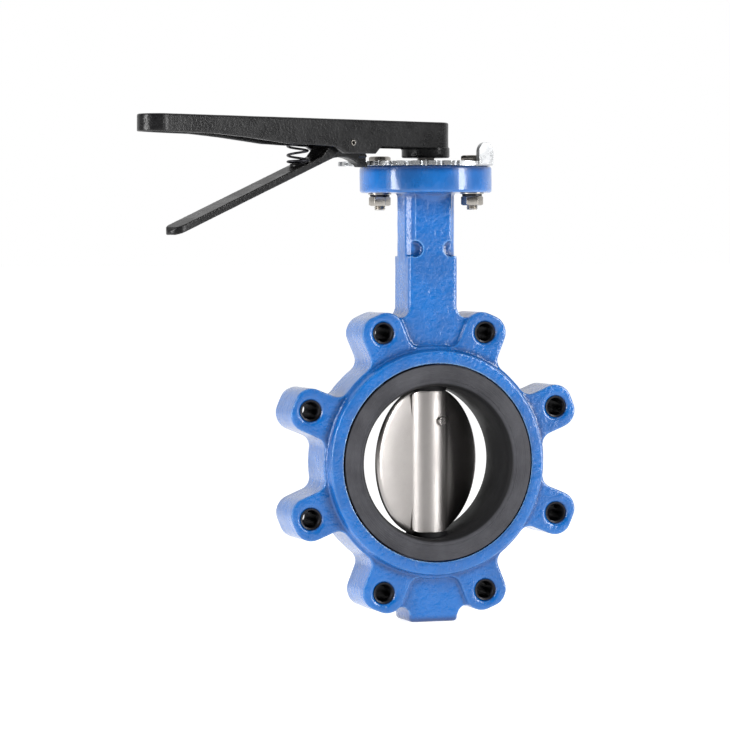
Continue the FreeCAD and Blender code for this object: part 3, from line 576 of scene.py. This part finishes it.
def remeshed(piece, voxel, smoothing, lumps, keep_share):
    """Rounds all edges of a piece and makes it a little uneven, as sand casting does."""
    cells = piece.modifiers.new("Cells", "REMESH")
    cells.mode = "VOXEL"
    cells.voxel_size = voxel
    smooth = piece.modifiers.new("Smooth", "SMOOTH")
    smooth.factor = 0.5
    smooth.iterations = smoothing
    waves = bpy.data.textures.new("casting_waves", "CLOUDS")
    waves.noise_scale = 14 * MM
    waves.noise_depth = 1
    uneven = piece.modifiers.new("Uneven", "DISPLACE")
    uneven.texture = waves
    uneven.strength = lumps
    thin = piece.modifiers.new("Thin", "DECIMATE")
    thin.ratio = keep_share
    applied(piece)


def machined(piece, tool, operation="DIFFERENCE"):
    """Cuts a tool's shape out of a piece, or joins it on, with crisp edges."""
    cut = piece.modifiers.new("Machining", "BOOLEAN")
    cut.operation = operation
    cut.solver = "MANIFOLD"
    cut.object = tool
    applied(piece)
    bpy.data.objects.remove(tool)


def bevelled(node, name, slot, body, width):
    """The node's own shape with every crisp edge broken, put in its place."""
    copy = merged_copy(node)
    bmesh.ops.dissolve_limit(copy, angle_limit=math.radians(1), verts=copy.verts, edges=copy.edges)
    piece = finished(copy, name, slot, 180.0)
    edges = piece.modifiers.new("Edges", "BEVEL")
    edges.width = width
    edges.segments = 2
    edges.limit_method = "ANGLE"
    edges.angle_limit = math.radians(35)
    even = piece.modifiers.new("Even", "WEIGHTED_NORMAL")
    even.weight = 80
    applied(piece)
    install(piece, body, slot, node)


def lug_places(sizes):
    """Centres of the eight lug holes."""
    for step in range(8):
        turn = FULL_TURN / 8 * (step + 0.5)
        yield Vector((math.cos(turn), 0, math.sin(turn))) * (sizes.lug_circle / 2)


def flange_places(sizes, z, turns=FLANGE_HOLES):
    """Points on the top flange's bolt circle."""
    for turn in turns:
        here = math.radians(turn)
        yield Vector((math.cos(here), math.sin(here), 0)) * (sizes.bolt_circle / 2) + Z_AXIS * z


class VALVE_OT_body(Operator):
    """Rounds the cast body and machines its bores again"""

    bl_idname = "valve.body"
    bl_label = "Body casting"

    def execute(self, context):
        sizes = context.scene.valve_sizes
        low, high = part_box("valve_body")
        body = finished(merged_copy("valve_body"), "body_casting", "blue_epoxy", 180.0)
        remeshed(body, sizes.body_voxel, 3, sizes.body_lumps, 0.33)
        steps = 2 * sizes.turn_steps
        overrun = 5 * MM
        drill_reach = Y_AXIS * (sizes.lug_half_thick + 2 * overrun)
        flange_reach = Z_AXIS * 40 * MM
        bore_reach = Y_AXIS * 40 * MM
        cuts = []
        for place in lug_places(sizes):
            cuts.append((sizes.lug_drill / 2, place - drill_reach, place + drill_reach))
        for place in flange_places(sizes, high.z + overrun):
            cuts.append((sizes.flange_hole / 2, place, place - flange_reach))
        cuts.append((sizes.body_bore / 2, -bore_reach, bore_reach))
        for side in (-1, 1):
            floor = Y_AXIS * side * sizes.pocket_floor
            cuts.append((sizes.seat_pocket / 2, floor, floor + Y_AXIS * side * 20 * MM))
        lower_housing = (low.z - overrun, 0)
        upper_housing = (0, 85 * MM)
        neck_housing = (149.5 * MM, high.z + overrun)
        for start, end in (lower_housing, upper_housing, neck_housing):
            cuts.append((sizes.housing / 2 + 0.1 * MM, Z_AXIS * start, Z_AXIS * end))
        for radius, start, end in cuts:
            tool = bmesh.new()
            add_cylinder(tool, radius, start, end, steps)
            machined(body, helper_object(tool, "cutter"))
        body.data.set_sharp_from_angle(angle=math.radians(42))
        install(body, "valve", "blue_epoxy", "valve_body")
        self.lug_threads(sizes)
        return {"FINISHED"}

    def lug_threads(self, sizes):
        """Bare iron thread in each lug hole"""
        threads = bmesh.new()
        half_long = sizes.lug_half_thick - 1.0 * MM
        crest = sizes.lug_thread / 2
        depth = sizes.lug_thread_depth
        steps = 36
        within_lug = 30 * MM
        for centre in lug_places(sizes):
            place = Matrix.Translation(centre) @ Matrix.Rotation(math.pi / 2, 4, "X")
            thread(threads, -half_long, half_long, crest, depth, sizes.lug_pitch, place, steps, inside=True)
            near = []
            for face in threads.faces:
                if (face.calc_center_median() - centre).length < within_lug:
                    near.append(face)
            sample = near[0]
            inward = centre - sample.calc_center_median()
            inward.y = 0
            if sample.normal.dot(inward) < 0:
                bmesh.ops.reverse_faces(threads, faces=near)
        sleeve = finished(threads, "lug_threads", "black_oxide", 60.0)
        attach(sleeve, "valve")


class VALVE_OT_seat(Operator):
    """Moulds the seat with its lips, sealing ridges and stem pads"""

    bl_idname = "valve.seat"
    bl_label = "Seat"

    def execute(self, context):
        sizes = context.scene.valve_sizes
        bore = sizes.seat_bore / 2
        lip = sizes.seat_lip / 2
        face = sizes.seat_face
        foot = sizes.pocket_floor + 0.15 * MM
        lip_bend = 3.9 * MM
        bead = face + 0.22 * MM
        ridge = face + 0.07 * MM
        ridge_radii = (59.4 * MM, 63.2 * MM)
        steps = 180
        half = [(bore, 16 * MM), (bore + 0.2 * MM, 21 * MM), (bore + 0.6 * MM, 23.6 * MM)]
        for step in range(6):
            turn = math.pi / 2 * (0.12 + 0.88 * step / 6)
            out = bore + 4.8 * MM - lip_bend * math.cos(turn)
            half.append((out, face - lip_bend + lip_bend * math.sin(turn)))
        half += [(bore + 4.4 * MM, face - 0.2 * MM), (bore + 4.6 * MM, bead)]
        half += [(bore + 5.1 * MM, bead), (bore + 5.4 * MM, face)]
        for middle in ridge_radii:
            half += [(middle - 0.4 * MM, face), (middle - 0.15 * MM, ridge)]
            half += [(middle + 0.15 * MM, ridge), (middle + 0.4 * MM, face)]
        half += [(lip - 1.0 * MM, face), (lip - 0.3 * MM, face - 0.3 * MM), (lip, face - 1.0 * MM)]
        half += [(lip, foot), (sizes.body_bore / 2 - 0.3 * MM, foot)]
        outline = half + [(radius, -height) for radius, height in reversed(half)]
        outline.append(outline[0])
        rubber = bmesh.new()
        along_pipe = Matrix.Rotation(-math.pi / 2, 4, "X")
        lathe(rubber, outline, steps, along_pipe)
        closed_solid(rubber)
        seat = finished(rubber, "rubber_seat", "seat_rubber", 180.0)
        pads = bmesh.new()
        for side in (-1, 1):
            start = Z_AXIS * side * sizes.seat_flat
            end = start + Z_AXIS * side * 6 * MM
            add_cylinder(pads, sizes.seat_pad / 2, start, end, sizes.turn_steps)
        machined(seat, helper_object(pads, "pads"), "UNION")
        port = bmesh.new()
        port_reach = Z_AXIS * 0.1
        add_cylinder(port, sizes.stem / 2 + 0.1 * MM, -port_reach, port_reach, sizes.turn_steps)
        machined(seat, helper_object(port, "stem_port"))
        seat.data.set_sharp_from_angle(angle=math.radians(30))
        install(seat, "valve", "seat_rubber", "seat_liner")
        return {"FINISHED"}


class VALVE_OT_fasteners(Operator):
    """Makes the index plate's bolts, nuts and washers with real threads and chamfers"""

    bl_idname = "valve.fasteners"
    bl_label = "Fasteners"

    def execute(self, context):
        sizes = context.scene.valve_sizes
        low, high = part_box("plate_bolts")
        plate_thick = 3 * MM
        plate_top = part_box("valve_body")[1].z + plate_thick
        self.hexagons("bolt_heads", "plate_bolts", sizes, plate_top, high.z, 0.0, both_ends=False)
        shanks = bmesh.new()
        pitch = sizes.bolt_pitch
        depth = 0.61 * pitch
        for centre in flange_places(sizes, 0, BOLTED_HOLES):
            place = Matrix.Translation(centre)
            thread(shanks, low.z, plate_top, sizes.bolt / 2, depth, pitch, place, sizes.turn_steps)
        closed_solid(shanks)
        install(finished(shanks, "bolt_threads", "zinc_steel", 60.0), "valve", "zinc_steel", "plate_bolts")
        low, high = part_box("plate_nuts")
        hole = sizes.bolt / 2 - 0.05 * MM
        self.hexagons("nuts", "plate_nuts", sizes, low.z, high.z, hole, both_ends=True)
        self.split_washers(sizes)
        bevelled("plate_washers", "flat_washers", "zinc_steel", "valve", 0.2 * MM)
        return {"FINISHED"}

    def hexagons(self, name, node, sizes, low, high, hole, both_ends):
        """Two hexagons with turned chamfers"""
        flat = sizes.across_flats / 2
        tip = flat / math.cos(math.pi / 6)
        corner = tip + 0.2 * MM
        rim = flat - 0.3 * MM
        drop = (corner - rim) * math.tan(math.pi / 6)
        outline = [(hole, low), (corner, low)]
        if both_ends:
            outline = [(hole, low), (rim, low), (corner, low + drop)]
        outline += [(corner, high - drop), (rim, high), (hole, high)]
        if hole > 0:
            sunk = 0.5 * MM
            outline[0] = (hole + sunk, low)
            outline[-1] = (hole + sunk, high)
            outline += [(hole, high - sunk), (hole, low + sunk), (hole + sunk, low)]
        blanks = bmesh.new()
        prisms = bmesh.new()
        for centre in flange_places(sizes, 0, BOLTED_HOLES):
            lathe(blanks, outline, 2 * sizes.turn_steps, Matrix.Translation(centre))
            middle = centre + Z_AXIS * (low + high) / 2
            turned = Matrix.Translation(middle) @ Matrix.Rotation(sizes.bolt_turn, 4, "Z")
            bmesh.ops.create_cone(
                prisms,
                cap_ends=True,
                segments=6,
                radius1=tip,
                radius2=tip,
                depth=high - low + 2 * MM,
                matrix=turned,
            )
        closed_solid(blanks)
        bmesh.ops.recalc_face_normals(prisms, faces=prisms.faces)
        hexes = finished(blanks, name, "zinc_steel", 180.0)
        machined(hexes, helper_object(prisms, "prisms"), "INTERSECT")
        soften = hexes.modifiers.new("Edges", "BEVEL")
        soften.width = 0.12 * MM
        soften.segments = 2
        soften.angle_limit = math.radians(40)
        applied(hexes)
        hexes.data.set_sharp_from_angle(angle=math.radians(28))
        install(hexes, "valve", "zinc_steel", node)

    def split_washers(self, sizes):
        """Split washers, their ends a little sprung"""
        low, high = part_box("plate_spring_washers")
        inner = sizes.bolt / 2 + 0.1 * MM
        outer = 6.8 * MM
        break_edge = 0.25 * MM
        sprung = 0.25 * MM
        split_at = math.radians(134)
        sweep = math.radians(352)
        top = high.z - low.z
        outline = [(inner + break_edge, 0), (outer - break_edge, 0), (outer, break_edge)]
        outline += [(outer, top - break_edge), (outer - break_edge, top), (inner + break_edge, top)]
        outline += [(inner, top - break_edge), (inner, break_edge), (inner + break_edge, 0)]
        rings = bmesh.new()
        for centre in flange_places(sizes, low.z, BOLTED_HOLES):
            place = Matrix.Translation(centre) @ Matrix.Rotation(split_at, 4, "Z")
            lathe(rings, outline, sizes.turn_steps, place, sweep, -sprung)
        bmesh.ops.remove_doubles(rings, verts=rings.verts, dist=1e-7)
        bmesh.ops.holes_fill(rings, edges=[edge for edge in rings.edges if edge.is_boundary])
        bmesh.ops.recalc_face_normals(rings, faces=rings.faces)
        rings = finished(rings, "split_washers", "black_oxide", 30.0)
        install(rings, "valve", "black_oxide", "plate_spring_washers")


class VALVE_OT_metalwork(Operator):
    """Breaks the edges of the plate, disc, stem, pins, screw, washer and plug"""

    bl_idname = "valve.metalwork"
    bl_label = "Metalwork"

    def execute(self, context):
        bevelled("index_plate", "notch_plate", "zinc_plate", "valve", 0.3 * MM)
        bevelled("disc", "disc_casting", "disc_stainless", "stem_and_lever", 0.35 * MM)
        bevelled("stem", "turned_stem", "stem_steel", "stem_and_lever", 0.25 * MM)
        bevelled("taper_pin", "disc_pin", "stem_steel", "stem_and_lever", 0.2 * MM)
        bevelled("lever_screw", "top_screw", "zinc_steel", "stem_and_lever", 0.25 * MM)
        bevelled("lever_washer", "top_washer", "zinc_steel", "stem_and_lever", 0.2 * MM)
        bevelled("trigger_pivot_pin", "roll_pin", "zinc_steel", "stem_and_lever", 0.12 * MM)
        bevelled("bottom_plug", "hex_plug", "zinc_steel", "valve", 0.3 * MM)
        return {"FINISHED"}


class VALVE_OT_lever(Operator):
    """Rounds the cast lever and trigger"""

    bl_idname = "valve.lever"
    bl_label = "Lever and trigger"

    def execute(self, context):
        sizes = context.scene.valve_sizes
        for node, name, body in (
            ("lever_handle", "lever_casting", "stem_and_lever"),
            ("trigger", "trigger_casting", "trigger"),
        ):
            piece = finished(merged_copy(node), name, "black_coat", 180.0)
            remeshed(piece, sizes.lever_voxel, 2, sizes.lever_lumps, 0.5)
            piece.data.set_sharp_from_angle(angle=math.radians(60))
            install(piece, body, "black_coat", node)
        return {"FINISHED"}


def swept(mesh_data, profile_edges, steps, turn, rise, centre):
    """Spins an edge loop up a helix; gives the geometry at its far end."""
    done = bmesh.ops.spin(
        mesh_data,
        geom=profile_edges,
        cent=centre,
        axis=Z_AXIS,
        angle=turn,
        steps=steps,
        dvec=Z_AXIS * (rise / steps),
        use_merge=False,
        use_duplicate=False,
    )
    return done["geom_last"]


class VALVE_OT_spring(Operator):
    """Coils the trigger's compression spring with its closed ends"""

    bl_idname = "valve.spring"
    bl_label = "Trigger spring"

    def execute(self, context):
        sizes = context.scene.valve_sizes
        low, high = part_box("trigger_spring")
        centre = (low + high) / 2
        wire = sizes.spring_wire / 2
        coil_radius = (high.x - low.x) / 2 - wire
        foot = Vector((centre.x, centre.y, low.z + wire))
        climb = high.z - low.z - 2 * wire
        closed_rise = 2.1 * wire
        closed_turns = 0.9
        steps_per_turn = 32
        coil = bmesh.new()
        place = Matrix.Translation(foot + X_AXIS * coil_radius) @ Matrix.Rotation(math.pi / 2, 4, "X")
        bmesh.ops.create_circle(coil, segments=12, radius=wire, matrix=place)
        loop = list(coil.edges) + list(coil.verts)
        closed_end = (closed_turns, closed_rise)
        open_coils = (sizes.spring_turns, climb - 2 * closed_rise)
        for turns, rise in (closed_end, open_coils, closed_end):
            steps = round(steps_per_turn * turns)
            loop = swept(coil, loop, steps, FULL_TURN * turns, rise, foot)
        bmesh.ops.holes_fill(coil, edges=[edge for edge in coil.edges if edge.is_boundary])
        bmesh.ops.recalc_face_normals(coil, faces=coil.faces)
        spring = finished(coil, "coil_spring", "black_oxide")
        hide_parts("trigger_spring")
        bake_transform(spring)
        return {"FINISHED"}


SLOT_OF_NODE = {
    "valve_body": "blue_epoxy",
    "seat_liner": "seat_rubber",
    "neck_bushing": "bearing_bronze",
    "upper_bushing": "bearing_bronze",
    "lower_bushing": "bearing_bronze",
    "stem_orings": "seal_rubber",
    "weather_seal": "seal_rubber",
    "thrust_washer": "zinc_steel",
    "bottom_plug": "zinc_steel",
    "plug_seal": "seal_rubber",
    "index_plate": "zinc_plate",
    "plate_bolts": "zinc_steel",
    "plate_nuts": "zinc_steel",
    "plate_washers": "zinc_steel",
    "plate_spring_washers": "black_oxide",
    "stem": "stem_steel",
    "disc": "disc_stainless",
    "taper_pin": "stem_steel",
    "stem_circlip": "black_oxide",
    "lever_handle": "black_coat",
    "lever_washer": "zinc_steel",
    "lever_screw": "zinc_steel",
    "trigger_pivot_pin": "zinc_steel",
    "trigger_spring": "black_oxide",
    "trigger": "black_coat",
}


class VALVE_OT_finishes(Operator):
    """Makes the materials and puts each on its CAD nodes"""

    bl_idname = "valve.finishes"
    bl_label = "Finishes"

    def execute(self, context):
        for plain in list(bpy.data.materials):
            bpy.data.materials.remove(plain)
        made = make_finishes(context.scene.valve_finishes)
        for name, node in frame["nodes"].items():
            node.data.materials.clear()
            node.data.materials.append(made[SLOT_OF_NODE[name]])
        return {"FINISHED"}


# ---- studio -----------------------------------------------------------------------------
def heading(turn):
    """Level direction, turned anticlockwise from the pipe's axis seen from above."""
    return Vector((-math.sin(turn), math.cos(turn), 0))


def softbox(name, azimuth, distance, height, size, power, aim):
    """Rectangular light; azimuth runs round to the left, as the camera's orbit does."""
    light = bpy.data.lights.new(name, "AREA")
    light.shape = "RECTANGLE"
    light.size, light.size_y = size
    light.energy = power
    lamp = bpy.data.objects.new(name, light)
    lamp.location = -heading(-azimuth) * distance + Z_AXIS * height
    lamp.rotation_euler = (aim - lamp.location).to_track_quat("-Z", "Y").to_euler()
    bpy.context.scene.collection.objects.link(lamp)


def studio_world(studio):
    """White behind and beside the valve, dim towards the camera; plain white to look at."""
    world = bpy.data.worlds.new("studio")
    world.use_nodes = True
    bpy.context.scene.world = world
    tree = world.node_tree
    tree.nodes.clear()
    direction = add(tree, "ShaderNodeTexCoord").outputs["Generated"]
    front = -heading(-studio.orbit)
    inputs = {0: direction, 1: front}
    towards = add(tree, "ShaderNodeVectorMath", inputs, operation="DOT_PRODUCT").outputs["Value"]
    level = between(tree, towards, -0.78, -0.02, 0.95, 0.05)
    lit = add(tree, "ShaderNodeBackground", {"Color": (1, 1, 1, 1), "Strength": level})
    seen = add(tree, "ShaderNodeBackground", {"Color": (*studio.backdrop, 1), "Strength": 1.0})
    camera_ray = add(tree, "ShaderNodeLightPath").outputs["Is Camera Ray"]
    both = add(tree, "ShaderNodeMixShader", {0: camera_ray, 1: lit.outputs[0], 2: seen.outputs[0]})
    output = add(tree, "ShaderNodeOutputWorld")
    tree.links.new(both.outputs[0], output.inputs["Surface"])


def studio_floor(studio):
    """Wide pale floor under the bottom boss."""
    low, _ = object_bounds()
    sheet = bmesh.new()
    place = Matrix.Translation(Z_AXIS * (low.z - 0.2 * MM))
    bmesh.ops.create_grid(sheet, x_segments=1, y_segments=1, size=30.0, matrix=place)
    material, tree, shader = new_material("studio_floor")
    pale = tuple(0.5 * part for part in studio.backdrop)
    feed(tree, shader, base=pale, rough=0.7, specular=0.0)
    shader.inputs["Emission Color"].default_value = (1, 1, 1, 1)
    shader.inputs["Emission Strength"].default_value = 0.92
    floor = finished(sheet, "studio_floor", "studio_floor")
    floor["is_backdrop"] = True


class VALVE_OT_studio(Operator):
    """Sets up the camera, the lights and the plain pale floor"""

    bl_idname = "valve.studio"
    bl_label = "Studio"

    def execute(self, context):
        studio = context.scene.valve_studio
        camera = bpy.data.objects.new("camera", bpy.data.cameras.new("camera"))
        camera.data.lens = studio.lens
        camera.data.clip_end = 100.0
        camera.location = -heading(-studio.orbit) * studio.distance + Z_AXIS * studio.height
        turn = -(studio.orbit - studio.pan)
        camera.rotation_euler = (math.pi / 2 - studio.pitch, 0.0, turn)
        camera.rotation_euler.rotate_axis("Z", studio.roll)
        context.scene.collection.objects.link(camera)
        context.scene.camera = camera
        context.scene.view_settings.view_transform = "Standard"
        studio_world(studio)
        studio_floor(studio)
        centre = Vector((0, 0, 0.06))
        # degrees to the left of the camera, distance, height, size, watts
        lamps = {
            "right_softbox": (-66, 1.5, 0.25, (0.34, 1.5), 29.0),
            "left_softbox": (54, 1.5, 0.25, (0.36, 1.5), 31.0),
            "top_softbox": (0, 0.5, 1.6, (1.6, 0.7), 6.0),
        }
        for name, (degrees, distance, height, size, power) in lamps.items():
            azimuth = studio.orbit + math.radians(degrees)
            softbox(name, azimuth, distance, height, size, power, centre)
        return {"FINISHED"}


OPERATORS = (
    VALVE_OT_finishes,
    VALVE_OT_body,
    VALVE_OT_seat,
    VALVE_OT_fasteners,
    VALVE_OT_metalwork,
    VALVE_OT_lever,
    VALVE_OT_spring,
    VALVE_OT_studio,
)


class VALVE_PT_sidebar(Panel):
    bl_label = "Butterfly valve"
    bl_idname = "VALVE_PT_sidebar"
    bl_space_type = "VIEW_3D"
    bl_region_type = "UI"
    bl_category = "Valve"

    def draw(self, context):
        for operator in OPERATORS:
            self.layout.operator(operator.bl_idname)
        for settings in (context.scene.valve_sizes, context.scene.valve_finishes, context.scene.valve_studio):
            for name in settings.bl_rna.properties.keys():
                if name not in ("rna_type", "name"):
                    self.layout.prop(settings, name)


CLASSES = (ValveSizes, ValveFinishes, ValveStudio, *OPERATORS, VALVE_PT_sidebar)
SETTINGS = {"valve_sizes": ValveSizes, "valve_finishes": ValveFinishes, "valve_studio": ValveStudio}


def register():
    for made in CLASSES:
        bpy.utils.register_class(made)
    for name, settings in SETTINGS.items():
        setattr(bpy.types.Scene, name, PointerProperty(type=settings))


def unregister():
    for name in SETTINGS:
        delattr(bpy.types.Scene, name)
    for made in reversed(CLASSES):
        bpy.utils.unregister_class(made)


def main():
    register()
    bpy.ops.valve.finishes()
    bpy.ops.valve.body()
    bpy.ops.valve.seat()
    bpy.ops.valve.fasteners()
    bpy.ops.valve.metalwork()
    bpy.ops.valve.lever()
    bpy.ops.valve.spring()
    bpy.ops.valve.studio()


if __name__ == "__main__":
    main()
